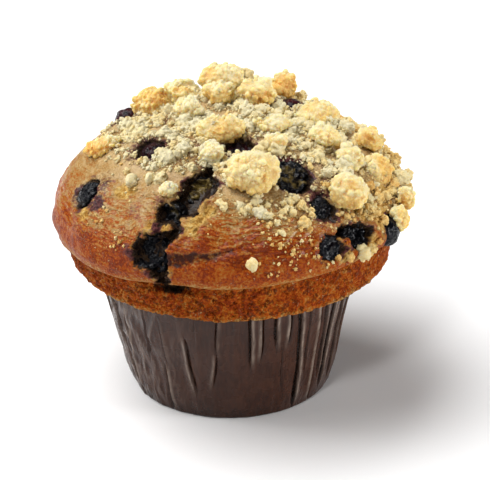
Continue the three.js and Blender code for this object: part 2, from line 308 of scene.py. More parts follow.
class Wire:
    """A socket of a finish. Sums and products of it add Math nodes."""

    def __init__(self, tree, socket):
        self.tree = tree
        self.socket = socket

    def node(self, kind, settings=None, sockets=None, out=0):
        """Adds a node: its own settings first, then a value or a wire for each of its sockets."""
        node = self.tree.nodes.new(kind)
        for name, value in (settings or {}).items():
            if name == "stops":
                ramp = node.color_ramp.elements
                for place, _ in value[len(ramp):]:
                    ramp.new(place)
                for stop, (place, colour) in zip(ramp, value):
                    stop.position = place
                    stop.color = colour
            else:
                setattr(node, name, value)
        for name, value in (sockets or {}).items():
            if isinstance(value, Wire):
                self.tree.links.new(value.socket, node.inputs[name])
            else:
                node.inputs[name].default_value = value
        return Wire(self.tree, node.outputs[out])

    def maths(self, operation, first, second):
        return self.node("ShaderNodeMath", {"operation": operation}, {0: first, 1: second})

    def __add__(self, other):
        return self.maths("ADD", self, other)

    def __sub__(self, other):
        return self.maths("SUBTRACT", self, other)

    def __rsub__(self, other):
        return self.maths("SUBTRACT", other, self)

    def __mul__(self, other):
        return self.maths("MULTIPLY", self, other)

    __radd__ = __add__
    __rmul__ = __mul__

    def off(self, value):
        """How far this is from a value, either way."""
        return self.maths("ABSOLUTE", self - value, 0)

    def between(self, low, high):
        """0 below low, 1 above high, and a smooth climb from one to the other."""
        settings = {"interpolation_type": "SMOOTHSTEP"}
        return self.node("ShaderNodeMapRange", settings, {"Value": self, "From Min": low, "From Max": high})

    def ramp(self, stops):
        """The colour that the stops give for this value."""
        return self.node("ShaderNodeValToRGB", {"stops": stops}, {"Fac": self})

    def mixed(self, first, second):
        """One colour where this is 0 and the other where it is 1."""
        return self.node("ShaderNodeMix", {"data_type": "RGBA"}, {0: self, 6: first, 7: second}, out=2)

    def noise(self, size, detail=3, stretch=(1, 1, 1)):
        """Noise round 0.5 at this place, with bumps of the given size in millimetres."""
        sockets = {"Vector": self, "Scale": tuple(axis / (size * MM) for axis in stretch)}
        scaled = self.node("ShaderNodeMapping", {"vector_type": "POINT"}, sockets)
        return scaled.node("ShaderNodeTexNoise", None, {"Vector": scaled, "Scale": 1, "Detail": detail})

    def grain(self, size, detail=3, stretch=(1, 1, 1)):
        """Noise that fills the whole way from 0 to 1."""
        return self.noise(size, detail, stretch).between(0.28, 0.72)

    def attribute(self, name):
        """A number that is kept for each vertex."""
        return self.node("ShaderNodeAttribute", {"attribute_name": name}, out=2)

    def vectors(self, name):
        """A vector that is kept for each vertex."""
        return self.node("ShaderNodeAttribute", {"attribute_name": name}, out=1)

    def bumpy(self, height, distance):
        """Bumps where the height changes, of the given depth in millimetres."""
        return self.node("ShaderNodeBump", None, {"Height": height, "Distance": distance * MM})


def finish(name, **constants):
    """A new finish: the material, its skin (Principled BSDF) and the place on the piece."""
    material = bpy.data.materials.new(name)
    material.use_nodes = True
    skin = material.node_tree.nodes["Principled BSDF"]
    for socket, value in constants.items():
        skin.inputs[socket.replace("_", " ")].default_value = value
    start = Wire(material.node_tree, None)
    return material, skin, start.node("ShaderNodeTexCoord", out=3)


def apply_to(skin, **wires):
    """Leads wires to the sockets of a finish."""
    for socket, wire in wires.items():
        wire.tree.links.new(wire.socket, skin.inputs[socket.replace("_", " ")])


def case_radius(height):
    """The radius of the case before it was folded."""
    return CASE_BASE_RADIUS + CASE_FLARE * (1 - (1 - height / CASE_HEIGHT) ** CASE_FLARE_POWER)


corner_turns = [radians(turn) for turn in (-90, -67, -45, -22, 0)]
corner_middle = CASE_BASE_RADIUS - CASE_CORNER + CORNER_REACH
case_profile = [(0, 0)] + [(ring, 0) for ring in BASE_RINGS]
case_profile += [
    (corner_middle + CASE_CORNER * cos(turn), CASE_CORNER * (1 + sin(turn))) for turn in corner_turns
]
case_profile += [
    (case_radius(height), height) for height in np.linspace(CASE_CORNER, CASE_HEIGHT, CASE_ROWS)[1:]
]
case = turned("paper_cup", case_profile, CASE_COLUMNS)

draw = np.random.default_rng(42)
folds = list(FOLDS)
azimuth = FOLDS_BEHIND[0]
while azimuth < FOLDS_BEHIND[1]:
    foot = azimuth + draw.uniform(-FOLD_LEAN, FOLD_LEAN)
    low = draw.uniform(*(LONG_FOLD_ENDS if draw.random() < LONG_FOLDS else SHORT_FOLD_ENDS))
    folds.append((azimuth, foot, FOLD_TOP, low, draw.uniform(*FOLD_DEPTHS), draw.uniform(*FOLD_WIDTHS)))
    azimuth += draw.uniform(*FOLD_SPACING)

places = corners(case)
angle = crowd_to_front(np.arctan2(places[:, 1], places[:, 0]))
radius = np.hypot(places[:, 0], places[:, 1])
height = places[:, 2]
up = height / CASE_HEIGHT
azimuths = np.degrees(angle)

# Folds: each is a slit with one steep wall and one that leans. It wanders a little and opens over a
# few millimetres. The panel beside the steep wall stands proud of its neighbour, tucked under it.
slit = np.zeros(len(places))
tuck = np.zeros(len(places))
worn = np.zeros(len(places))
nearest_before = np.full(len(places), 90.0)
nearest_after = np.full(len(places), 90.0)
for i, (rim, foot, high, low, depth, width) in enumerate(folds):
    wander = FOLD_WANDER[0] * np.sin(height / 6.1 + 2.1 * i) + FOLD_WANDER[1] * np.sin(height / 2.1 + i)
    off = around(azimuths, rim * up + foot * (1 - up))
    is_open = smooth(height - low, *FOLD_OPENING)
    if high < CASE_HEIGHT - 1:
        is_open = is_open * (1 - smooth(height - high, *FOLD_CLOSING))
    steep_side = 1 if i % 3 else -1
    away = (np.radians(off) * radius + wander) * steep_side
    wall = np.where(away > 0, np.abs(away / width) ** 2, np.abs(away / (LEANING_WALL * width)) ** 1.3)
    slit = np.maximum(slit, depth * is_open * np.exp(-wall))
    step = np.where(away > 0, np.exp(-away / 1.3), -0.8 * np.exp(away / 1.1))
    tuck += TUCK * depth * is_open * step
    # painted highlight along the proud edge of each fold
    edge = is_open * np.clip(1.3 * depth - 0.6, 0, 1) * hump(away, width + 0.5, 0.45)
    worn = np.maximum(worn, edge)
    nearest_before = np.minimum(nearest_before, np.where(off >= 0, off, 90))
    nearest_after = np.minimum(nearest_after, np.where(off < 0, -off, 90))

# Between the folds the paper runs straight, so the middle of a panel lies further in.
half_panel = np.radians(nearest_before + nearest_after) / 2
off_middle = np.radians(nearest_before - nearest_after) / 2
flat = np.cos(half_panel) / np.cos(off_middle) - 1

# The panels billow softly, and the crumpled side has sharp creases.
crumpled = facing(azimuths, *CRUMPLED_SIDE)
unrolled = np.column_stack([np.radians(azimuths) * MEAN_RADIUS, height, np.zeros(len(places))])
swirled = unrolled + 1.6 * np.sin(unrolled[:, [1, 0, 2]] / 3.1)
sharp_waves = 0.5 - 2 * np.abs(rough(swirled * [1, 0.35, 1], 3.0, 2, 1))
soft_waves = rough(unrolled * [1, 0.2, 1], 4.0, 2, 2)
sharp, soft = [flat_one + more * crumpled for flat_one, more in zip(FLAT_WAVES, CRUMPLED_WAVES)]
billow = sharp * sharp_waves + soft * soft_waves
sink = PANEL_SINK + slit - tuck - billow
on_side = smooth(radius, 20, CASE_BASE_RADIUS - 0.5)
fading = 0.35 + 0.65 * smooth(height, 0, 4)
radius = radius * (1 + CHORD * flat * on_side)
radius -= np.clip(PANEL_SINK + (sink - PANEL_SINK) * fading, 0.02, DEEPEST_FOLD) * on_side
radius += FOOT_OUT * on_side * (1 - smooth(height, 0, FOOT_FADE))
radius -= CASE_PRESS * pressed_in(azimuths, height) * on_side
move_corners(case, np.column_stack([radius * np.cos(angle), radius * np.sin(angle), height]))
# The paper is darker towards the foot, and the deep slits are painted near-black as painted shade.
darker_foot = FOOT_DARKENING * (1 - smooth(height, 1, 11)) * on_side
paint(case, "crease", np.clip(slit + darker_foot, 0, 1))
# painted highlight on the fold edges and on the ridges of the crumpled side
paint(case, "worn", np.maximum(worn, 0.6 * crumpled * smooth(sharp_waves, 0.15, 0.5)) * on_side * fading)

modified(case, "SOLIDIFY", thickness=PAPER_THICKNESS * MM, offset=-1)

paper, skin, place = finish("greaseproof_paper", Specular_IOR_Level=0.28)
fibres = place.grain(0.9, 4, (1, 1, 0.18))
mottle = place.grain(6, 3)
crease = place.attribute("crease")
paper_colour = (0.55 * fibres + 0.45 * mottle).ramp(PAPER_COLOURS)
paper_bump = place.bumpy(fibres, 0.05)
# painted highlight on the fold edges and the crumpled ridges
paper_colour = (0.75 * place.attribute("worn") * (0.4 + fibres)).mixed(paper_colour, PAPER_HIGHLIGHT_COLOUR)
# painted shade in the fold slits, and the paper darker towards the foot
apply_to(skin, Base_Color=crease.between(0.35, 1.1).mixed(paper_colour, SLIT_SHADE_COLOUR), Normal=paper_bump)
apply_to(skin, Roughness=0.23 + 0.08 * mottle)
case.data.materials.append(paper)
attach(case, "root")
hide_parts("paper_case")

# ---- Cake ----
# The muffin itself, one piece of batter baked in a deep tin: a stem in the case, a flat porous band
# where the tin shaped it, a rolled edge, and a domed crust that split and let the berries burst.
# The crust is brown, with a thin sheen and fine wrinkles at the front, and the torn crumb is yellow.
CASE_WALL = 1.5
CASE_FLOOR = 1
CLEARANCE = 0.35
CROWN_RADIUS = 47.4
APEX_HEIGHT = 74.5
ROUND_ACROSS = 2.35
ROUND_UP = 1.95
LEDGE_HEIGHT = 47
LEDGE_RADIUS = 45.3
LEDGE_TO_WIDEST = 3.6
LEDGE_TILT = 2.3
LEDGE_HIGH_SIDE = -35
BURST_LIFT = 1.2
BURST_SIDE = (-110, 12)
BAND_TOP_RADIUS = 43.9
BAND_FOOT_RADIUS = 42.8
BAND_FOOT_ROUND = 0.9
UNDERSIDE_HEIGHT = CASE_HEIGHT + 0.5
STEM_EDGE = 36  # the flat underside belongs to the stem up to here
FOOT_EDGE = 38  # and the uneven foot of the band starts here
STEM_PRESS = 2.0  # the stem gives way where the case was pressed in
HILL_HEIGHT = 0.55
HEART = np.array([0, 0, 40])  # the crown swells away from here
CAKE_COLUMNS = 520
CROWN_STEPS = [(0, 0.36), (0.5, 0.40), (0.72, 0.62), (1, 1.0)]  # share of the way up, row height
BAND_STEPS = [(0, 0.55), (0.35, 0.4), (1, 0.32)]
STEM_RINGS = 10
CROWN_RINGS = 120
BERRIES = [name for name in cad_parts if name.startswith("berry_")]
BURST = {
    # how far its middle has fallen in, how much of its flesh shows, and the hole as a share of its size
    "berry_02": (2.4, 0.3, 0.37),
    "berry_03": (2.6, 0.9, 0.46),
    "berry_04": (3.2, 0.1, 0.42),
    "berry_05": (2.2, 0.45, 0.47),
    "berry_06": (1.0, 0.0, 0.47),
    "berry_07": (2.6, 0.0, 0.47),
    "berry_13": (1.2, 0.1, 0.45),
    "berry_11": (1.2, 0.2, 0.47),
}
CRACK = [
    # azimuth, how far down the crown, half width
    (-101, 0.298, 1.0),
    (-103, 0.36, 2.0),
    (-105.5, 0.45, 3.1),
    (-107.5, 0.53, 3.6),
    (-113, 0.582, 2.6),
    (-109.5, 0.635, 1.2),
    (-108, 0.68, 0.9),
    (-111, 0.745, 1.8),
    (-114.5, 0.83, 4.2),
    (-112, 0.93, 2.6),
    (-111, 1.0, 1.7),
]
CRACK_DEPTH = 3.4
CRACK_LIP = 0.5
SLASH = [(-110, 0.88), (-103, 0.85), (-96, 0.82), (-89, 0.78)]  # a shallow wet fold beside the burst
SLASH_WIDTHS = [2.0, 2.0, 1.1, 0.4]
SLASH_DEPTH = 0.75
SLOT_SIDE = (-109.5, 7.5)  # a slot below the rolled edge, under the burst berry
SLOT_BELOW = 1.2
SLOT_HALF = 1.4
SLOT_DEPTH = 2.6
GAPE = [(-51, 0.80), (-45, 0.845), (-37.5, 0.885)]  # a dark hollow between two berries at the right
GAPE_WIDTHS = [1.5, 2.6, 0.5]
POCKET_DEPTH = 2.4
POCKET_LIP = 0.4
WHOLE_MOUTH = 0.52  # the hole round a whole berry, as a share of its size
POCKET_REACH = 15
FAR_OFF = 90.0
TORN_CRUMB = [
    # azimuth, how far down, half size: where the crust is off and the yellow crumb shows
    (-116, 0.70, 3.4),
    (-113, 0.665, 2.4),
    (-103, 0.66, 2.6),
    (-101, 0.60, 2.2),
    (-98, 0.55, 2.2),
    (-41, 0.985, 4.4),
    (-52, 0.95, 2.8),
    (-30, 0.84, 5.0),
    (-20, 0.74, 4.5),
    (-37, 0.74, 3.6),
    (-137, 0.52, 3.0),
    (-147, 0.74, 2.4),
]
JUICE = [
    # azimuth, how far down, half size, strength: where a burst berry stained the crust
    (-143.5, 0.655, 3.0, 0.8),
    (-148, 0.58, 3.6, 0.6),
    (-151, 0.52, 3.2, 0.5),
    (-119, 0.54, 3.0, 0.4),
    (-126, 0.60, 4.5, 0.35),
    (-112, 0.97, 4.5, 0.7),
    (-122, 0.83, 2.6, 0.5),
    (-52.5, 0.60, 5.0, 0.8),
    (-44, 0.5, 5.0, 0.55),
    (-36, 0.36, 6.0, 0.5),
    (-78, 0.20, 7.0, 0.8),
    (44, 0.28, 6.0, 0.8),
    (-149, 0.28, 7.0, 0.8),
    (151, 0.44, 6.0, 0.8),
    (-120, 0.20, 6.0, 0.5),
    (-30, 0.60, 5.0, 0.4),
    (75, 0.8, 5.0, 0.6),
    (128, 0.72, 5.0, 0.5),
]
CORE_REACH = 0.38  # how far down there are hardly any gaps between the crumbs
CRUMB_REACH = [
    # azimuth, how far down there are crumbs in patches
    (-180, 0.45), (-150, 0.42), (-128, 0.42), (-118, 0.36), (-105, 0.38), (-95, 0.48), (-80, 0.64),
    (-65, 0.72), (-50, 0.82), (-30, 0.95), (0, 0.95), (40, 0.90), (90, 0.80), (130, 0.66), (180, 0.45),
]
WRINKLED_SIDES = [(-80, 34), (-142, 30)]  # azimuth and spread
WRINKLE_DEPTH = 1.6
WRINKLE_RADIUS = 12  # small, so that the wrinkles run far round the crown
CRUST_LENGTH = 58  # from the apex down to the widest ring
RIM_RADIUS = 40
RIM_UNEVENNESS = 0.55
DIM_EDGE = (-5, 48)  # azimuth and spread of the side where the rolled edge has no painted highlight
FLAT_SIDE = (5, 50)  # the dome is flatter here
FLAT_DEPTH = 2.0
# the left side is paler, partly in the crust's colour and partly as a painted highlight
PALE_SIDE_AND_HIGHLIGHT = (-158, 40)
TOP_BAKE = 0.22  # how dark the crust is at the apex, and how much darker at the edge
EDGE_BAKE = 0.64
BAND_BAKE = 0.84
STEM_BAKE = 0.35
PORE_DEPTH = 0.5
CRUST_COLOURS = [
    (0.0, (0.60, 0.41, 0.20, 1)),
    (0.3, (0.48, 0.295, 0.108, 1)),
    (0.5, (0.43, 0.218, 0.062, 1)),
    (0.68, (0.39, 0.110, 0.011, 1)),
    (0.84, (0.35, 0.057, 0.003, 1)),
    (1.0, (0.20, 0.026, 0.003, 1)),
]
CRUMB_COLOURS = [(0.1, (0.32, 0.14, 0.022, 1)), (0.5, (0.58, 0.33, 0.08, 1)), (0.9, (0.75, 0.55, 0.21, 1))]
# the crust under the crumbs; its dark end is painted shade in the gaps between them
BED_AND_GAP_SHADE_COLOURS = [(0.1, (0.21, 0.09, 0.030, 1)), (0.45, (0.38, 0.235, 0.088, 1)), (0.9, (0.57, 0.43, 0.20, 1))]
JUICE_COLOURS = [(0.2, (0.040, 0.011, 0.014, 1)), (0.8, (0.15, 0.050, 0.045, 1))]
# wet stains, and painted shade in the crack, the pockets and the slot
WET_AND_SHADE_COLOURS = [(0.2, (0.010, 0.005, 0.005, 1)), (0.8, (0.055, 0.030, 0.014, 1))]
SYRUP_COLOUR = (0.050, 0.014, 0.008, 1)
DUST_COLOUR = (0.66, 0.52, 0.30, 1)
# painted shade: the dark in the pores of the band
PORE_SHADE_COLOUR = (0.13, 0.028, 0.006, 1)


def ledge_rise(angle):
    """How much higher than LEDGE_HEIGHT the rolled edge lies at an angle in degrees."""
    tilt = LEDGE_TILT * np.cos(np.radians(angle - LEDGE_HIGH_SIDE))
    return tilt + BURST_LIFT * facing(angle, *BURST_SIDE)


def swell(angle):
    """The crown's width at an angle in degrees, as a share of a plain circle's."""
    turn = np.radians(angle)
    return 1 + 0.008 * np.sin(2 * turn - 0.52) + 0.006 * np.sin(3 * turn + 2.41)


def hills(x, y):
    """The low hills of the crust."""
    broad = np.sin(x / 6.2 + 1.3) * np.cos(y / 5.3 - 0.4)
    narrow = 0.6 * np.sin(x / 3.2 - y / 4.3 + 0.9) + 0.4 * np.cos(x / 4.5 + y / 2.4 + 2.1)
    return HILL_HEIGHT * (broad + narrow)


def crown_profile(down):
    """Radius and height of the crown, from its apex at 0 to its widest ring at 1."""
    turn = (1 - np.asarray(down, float)) * pi / 2
    widest = LEDGE_HEIGHT + LEDGE_TO_WIDEST
    radius = CROWN_RADIUS * np.cos(turn) ** (2 / ROUND_ACROSS)
    return radius, widest + (APEX_HEIGHT - widest) * np.sin(turn) ** (2 / ROUND_UP)


def outward(places):
    """The way in which the crown swells at each place, as a vector of length 1."""
    away = places - HEART
    return away / np.linalg.norm(away, axis=1)[:, None]


def risen(angle, radius, height):
    """Turns points of the plain round profile into points of the risen muffin."""
    above = (APEX_HEIGHT - height) / (APEX_HEIGHT - LEDGE_HEIGHT)
    below = (height - UNDERSIDE_HEIGHT) / (LEDGE_HEIGHT - UNDERSIDE_HEIGHT)
    share = np.where(height > LEDGE_HEIGHT, above, np.clip(below, 0, 1))
    radius = radius * (1 + (swell(angle) - 1) * smooth(height, UNDERSIDE_HEIGHT, LEDGE_HEIGHT))
    turn = np.radians(angle)
    lifted = height + ledge_rise(angle) * share
    places = np.column_stack([radius * np.cos(turn), radius * np.sin(turn), lifted])
    crusty = smooth(height, LEDGE_HEIGHT, LEDGE_HEIGHT + 3 * LEDGE_TO_WIDEST)
    return places + outward(places) * (hills(places[:, 0], places[:, 1]) * crusty)[:, None]


def on_crust(azimuth, down):
    """The points of the crust at these azimuths and this far down the crown."""
    radius, height = crown_profile(np.atleast_1d(down))
    return risen(np.atleast_1d(np.asarray(azimuth, float)), radius, height)


def line_on_crust(rows):
    """The points of the crust that the first two values of each row give."""
    return on_crust([row[0] for row in rows], [row[1] for row in rows])


def from_spot(places, azimuth, down):
    """How far the places are from one point of the crust."""
    return np.linalg.norm(places - on_crust(azimuth, down)[0], axis=1)


def off_line(places, line, widths):
    """How far outside a line of points the places are, with the line's half width at each point."""
    nearest = np.full(len(places), FAR_OFF)
    for start, end, wide, narrow in zip(line, line[1:], widths, widths[1:]):
        way = end - start
        share = np.clip((places - start) @ way / (way @ way), 0, 1)
        away = np.linalg.norm(places - start - share[:, None] * way, axis=1)
        nearest = np.minimum(nearest, away - (wide + share * (narrow - wide)))
    return nearest


def evenly(points, steps):
    """Points along a curve, spaced by a step that is given for shares of the way."""
    points = np.array(points, float)
    lengths = np.linalg.norm(np.diff(points, axis=0), axis=1)
    walked = np.concatenate([[0], np.cumsum(lengths)])
    stops = [0.0]
    while stops[-1] < walked[-1]:
        stops.append(stops[-1] + np.interp(stops[-1] / walked[-1], *zip(*steps)))
    stops = np.array(stops[:-1] + [walked[-1]])
    return [tuple(np.array([np.interp(stop, walked, axis) for axis in points.T])) for stop in stops]


def stem_radius(height):
    """The radius of the stem, which leaves the case its wall and a little air."""
    return case_radius(min(height, CASE_HEIGHT)) - CASE_WALL - CLEARANCE


stem_foot = CASE_FLOOR + CLEARANCE
stem = [(0, stem_foot), (stem_radius(stem_foot) / 2, stem_foot)]
stem += [(stem_radius(height), height) for height in np.linspace(stem_foot, UNDERSIDE_HEIGHT, STEM_RINGS)]
band = [
    (BAND_FOOT_RADIUS - BAND_FOOT_ROUND, UNDERSIDE_HEIGHT),
    (BAND_FOOT_RADIUS - 0.25 * BAND_FOOT_ROUND, UNDERSIDE_HEIGHT + 0.25 * BAND_FOOT_ROUND),
    (BAND_FOOT_RADIUS, UNDERSIDE_HEIGHT + BAND_FOOT_ROUND),
    (BAND_TOP_RADIUS, LEDGE_HEIGHT - 0.6),
    (LEDGE_RADIUS - 0.4, LEDGE_HEIGHT - 0.1),
    (LEDGE_RADIUS, LEDGE_HEIGHT + 0.1),
    (LEDGE_RADIUS + 1.3, LEDGE_HEIGHT + 1.1),
]
crown = [crown_profile(down) for down in np.linspace(1, 0.02, CROWN_RINGS)]
cake_profile = stem[:-1]
cake_profile += evenly([stem[-1]] + band + [crown[0]], BAND_STEPS)[:-1]
cake_profile += evenly(crown, CROWN_STEPS)
cake_profile += [(0, APEX_HEIGHT)]
cake = turned("muffin_cake", cake_profile, CAKE_COLUMNS)

places = corners(cake)
azimuths = np.degrees(crowd_to_front(np.arctan2(places[:, 1], places[:, 0])))
radius = np.hypot(places[:, 0], places[:, 1])
height = places[:, 2]
widest = LEDGE_HEIGHT + LEDGE_TO_WIDEST
climbed = np.clip((height - widest) / (APEX_HEIGHT - widest), 0, 1)
down = 1 - np.arcsin(np.clip(climbed ** (ROUND_UP / 2), 0, 1)) * 2 / pi
is_crown = height > LEDGE_HEIGHT + 0.2
below_ledge = LEDGE_HEIGHT - height
is_band = smooth(below_ledge, -0.1, 0.5) * smooth(height, UNDERSIDE_HEIGHT - 0.1, UNDERSIDE_HEIGHT)
on_stem = (height < UNDERSIDE_HEIGHT - 0.1) | ((height < UNDERSIDE_HEIGHT + 0.1) & (radius < STEM_EDGE))
places = risen(azimuths, radius, height)
plain = places.copy()
out = outward(places)

# The crack and the hollow at the right, ragged at their edges and lifted a little beside them, then
# the shallow fold and the slot below the rolled edge.
ragged = 0.9 * rough(plain, 2.6, 2, 3) + 0.8 * rough(plain, 1.0, 2, 4)
crack_line = line_on_crust(CRACK)
crack_line[-1] -= [0, 0, 1.5]  # its foot reaches over the rolled edge
crack = off_line(plain, crack_line, [row[2] for row in CRACK])
crack = np.minimum(crack, off_line(plain, line_on_crust(GAPE), GAPE_WIDTHS)) + ragged
torn = 1 - smooth(crack, -1.3, 0.5)
relief = -CRACK_DEPTH * torn + CRACK_LIP * hump(crack, 1.3, 0.8)
slash = off_line(plain, line_on_crust(SLASH), SLASH_WIDTHS) + 0.3 * ragged
in_slash = 1 - smooth(slash, -1.0, 0.7)
relief -= SLASH_DEPTH * in_slash
in_slot = facing(azimuths, *SLOT_SIDE)
slot_height = np.exp(-(((below_ledge - SLOT_BELOW + 0.5 * ragged) / SLOT_HALF) ** 4))
relief -= SLOT_DEPTH * in_slot * slot_height

# A pocket round each berry, more ragged where it burst.
pocket = np.full(len(places), FAR_OFF)
for name in BERRIES:
    low, high = [np.array(end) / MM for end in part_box(name)]
    middle = (low + high) / 2
    axis = outward(middle[None, :])[0]
    away = plain - middle
    beside = np.linalg.norm(away - (away @ axis)[:, None] * axis, axis=1)
    beside[np.linalg.norm(away, axis=1) > POCKET_REACH] = FAR_OFF
    raggedness = 1.0 if name in BURST else 0.4
    mouth = BURST.get(name, (0, 0, WHOLE_MOUTH))[2] * np.sort(high - low)[1:].mean()
    pocket = np.minimum(pocket, beside - mouth + raggedness * ragged)
relief -= POCKET_DEPTH * (1 - smooth(pocket, -1.0, 0.4)) * (1 - torn)
relief += POCKET_LIP * hump(pocket, 1.2, 0.8) * (1 - torn)

# Torn crumb, the bed of crumbs, wrinkles that run round the crown, and the pores of the band.
crumb_show = np.zeros(len(places))
for azimuth, how_far, half in TORN_CRUMB:
    away = from_spot(plain, azimuth, how_far) / half + 0.35 * ragged
    crumb_show = np.maximum(crumb_show, 1 - smooth(away, 0.65, 1.1))
crumb_show = np.maximum(crumb_show, hump(crack, 1.0, 0.7) * smooth(rough(plain, 4, 2, 13), -0.15, 0.25))
crumb_show *= smooth(pocket, -0.4, 0.4) * is_crown * (1 - in_slash)
relief += crumb_show * (0.7 * rough(plain, 1.5, 3, 5) - 0.3)

reach_to = np.interp(azimuths, *zip(*CRUMB_REACH))
patchy = rough(plain, 4.5, 3, 90)
core = 1 - smooth(down + 0.05 * patchy, CORE_REACH - 0.12, CORE_REACH + 0.12)
fringe = 1 - smooth(down + 0.09 * patchy, reach_to - 0.08, reach_to + 0.06)
bed = fringe * smooth(patchy + 0.36 * core - 0.05, -0.12, 0.12)
bed *= smooth(pocket, 0.2, 1.0) * smooth(crack, 0.2, 1.2)
relief += bed * (0.1 + 0.8 * np.abs(rough(plain, 1.9, 2, 14)) + 0.35 * rough(plain, 0.9, 2, 15))

wavy_length = CRUST_LENGTH * down + 1.2 * rough(plain, 8, 2, 6) + 0.7 * rough(plain, 2.6, 2, 16)
turns = np.radians(azimuths)
contour = np.column_stack([WRINKLE_RADIUS * np.cos(turns), WRINKLE_RADIUS * np.sin(turns), wavy_length])
creases = np.abs(rough(contour, 2.3, 2, 7))
wrinkled = smooth(down, 0.40, 0.52) * (1 - smooth(down, 0.80, 0.94))
wrinkled *= 0.25 + 0.75 * np.maximum(*[facing(azimuths, *side) for side in WRINKLED_SIDES])
wrinkled *= is_crown * (1 - crumb_show) * (1 - in_slash)
relief += WRINKLE_DEPTH * wrinkled * (np.minimum(creases, 0.30) - 0.2)
relief += (0.35 * rough(plain, 6, 2, 8) + 0.12 * rough(plain, 1.6, 3, 9)) * is_crown
pores = smooth(rough(plain * [1, 1, 1.4], 1.1, 3, 10), 0.12, 0.45)
relief += is_band * (0.30 * rough(plain, 2.4, 3, 11) - PORE_DEPTH * pores)
relief -= FLAT_DEPTH * facing(azimuths, *FLAT_SIDE) * hump(down, 0.52, 0.30) * is_crown
relief[on_stem] = 0
relief -= STEM_PRESS * pressed_in(azimuths, height) * on_stem
places += out * relief[:, None]

# The foot of the band is uneven where the batter met the tin.
foot = hump(height, UNDERSIDE_HEIGHT + 0.3, 0.9) * (radius > FOOT_EDGE)
rim_places = np.column_stack([RIM_RADIUS * np.cos(turns), RIM_RADIUS * np.sin(turns), 0 * turns])
places[:, 2] += RIM_UNEVENNESS * foot * rough(rim_places, 3.2, 3, 12)
move_corners(cake, places)

# Wet stains in the crack, the pockets and the slot, darkened there as painted shade, and juice that
# seeped into the crust round them.
stain = np.maximum(1 - smooth(crack, -0.1, 0.75), 1 - smooth(pocket, -0.2, 0.6))
run_down = in_slot * hump(below_ledge, SLOT_BELOW, 2.3) + 0.3 * rough(plain, 2.2, 3, 21)
stain = np.maximum(stain, 0.9 * smooth(run_down, 0.35, 0.85))
seeped = 0.5 + 0.8 * rough(plain, 3.5, 2, 19)
juice = seeped * np.maximum(1 - smooth(pocket, 0.4, 2.4), 0.8 * (1 - smooth(crack, 0.4, 2.0)))
juice = np.maximum(juice, 0.5 * bed * smooth(rough(plain, 5, 2, 17), -0.05, 0.4))
for azimuth, how_far, half, strength in JUICE:
    away = from_spot(plain, azimuth, how_far) / half + 0.55 * ragged
    juice = np.maximum(juice, strength * (1 - smooth(away, 0.35, 1.35)))

# How dark the crust is baked: pale at the top and dark on the band, with a paler foot. The left
# side is paler, partly in its colour and partly as a painted highlight, and a pale line along the
# rolled edge is a painted highlight.
# painted highlight: a pale line along the rolled edge
edge_highlight = hump(below_ledge, -0.8, 1.1) * (1 - 0.85 * facing(azimuths, *DIM_EDGE))
foot_light = hump(height, UNDERSIDE_HEIGHT + 0.5, 0.7) * (radius > FOOT_EDGE)
baked = TOP_BAKE + EDGE_BAKE * smooth(down, 0.25, 0.98)
baked -= 0.08 * np.cos(np.radians(azimuths + 30)) * smooth(down, 1, 0.6)
# paler at the left: partly the crust's own colour, partly a painted highlight on the lit side
baked -= 0.34 * facing(azimuths, *PALE_SIDE_AND_HIGHLIGHT) * (1 - smooth(down, 0.72, 0.95))
baked = np.where(height < widest, BAND_BAKE, baked)
baked = baked * (1 - is_band) + is_band * (BAND_BAKE - 0.22 * foot_light) - 0.28 * edge_highlight
baked -= 0.16 * fringe * (1 - bed)
dusty = fringe * 0.8 + (1 - smooth(down, 0.55, 0.95)) * (0.10 + 0.5 * rough(plain, 4, 2, 18))
paint(cake, "stain", stain)
paint(cake, "syrup", in_slash)
paint(cake, "juice", juice * (1 - is_band))
paint(cake, "torn", crumb_show)
paint(cake, "bed", bed)
paint(cake, "band", is_band)
paint(cake, "baked", np.where(on_stem, STEM_BAKE, baked))
paint(cake, "wrinkled", wrinkled)
paint(cake, "dusty", np.clip(dusty, 0, 1) * is_crown)
paint(cake, "glazed", (1 - 0.7 * smooth(down, 0.75, 0.97)) * (1 - bed) * (1 - crumb_show) * is_crown)
paint_vectors(cake, "contour", contour * MM)

# The colours are laid over each other: the crust, pores, flour dust, torn crumb, the bed of crumbs,
# juice, syrup and wet stains. Painted shade darkens the pores, the wrinkle lines, the gaps in the bed
# and the crack and pockets, and a painted highlight runs along the rolled edge.
crust, skin, place = finish("baked_crust", Specular_IOR_Level=0.05, Coat_Roughness=0.25)
wrinkled_here = place.attribute("wrinkled")
band_here = place.attribute("band")
wet_and_shaded = place.attribute("stain")
syrupy = place.attribute("syrup")
torn_here = place.attribute("torn")
juicy = place.attribute("juice")
bed_here = place.attribute("bed")
blotches = place.grain(5, 4)
spots = place.grain(1.8, 3)
fine = place.grain(0.6, 3)
speckle = place.grain(0.3, 2)
wrinkle_shade_line = 1 - place.vectors("contour").noise(1.7, 2).off(0.5).between(0.01, 0.13)
depth = place.attribute("baked") + 0.24 * (blotches - 0.5) + 0.22 * (spots - 0.5) + 0.36 * (fine - 0.5)
# painted shade: the crust is darker along thin lines in the wrinkles
depth = depth + 0.32 * wrinkled_here * wrinkle_shade_line
crust_colour = depth.ramp(CRUST_COLOURS)
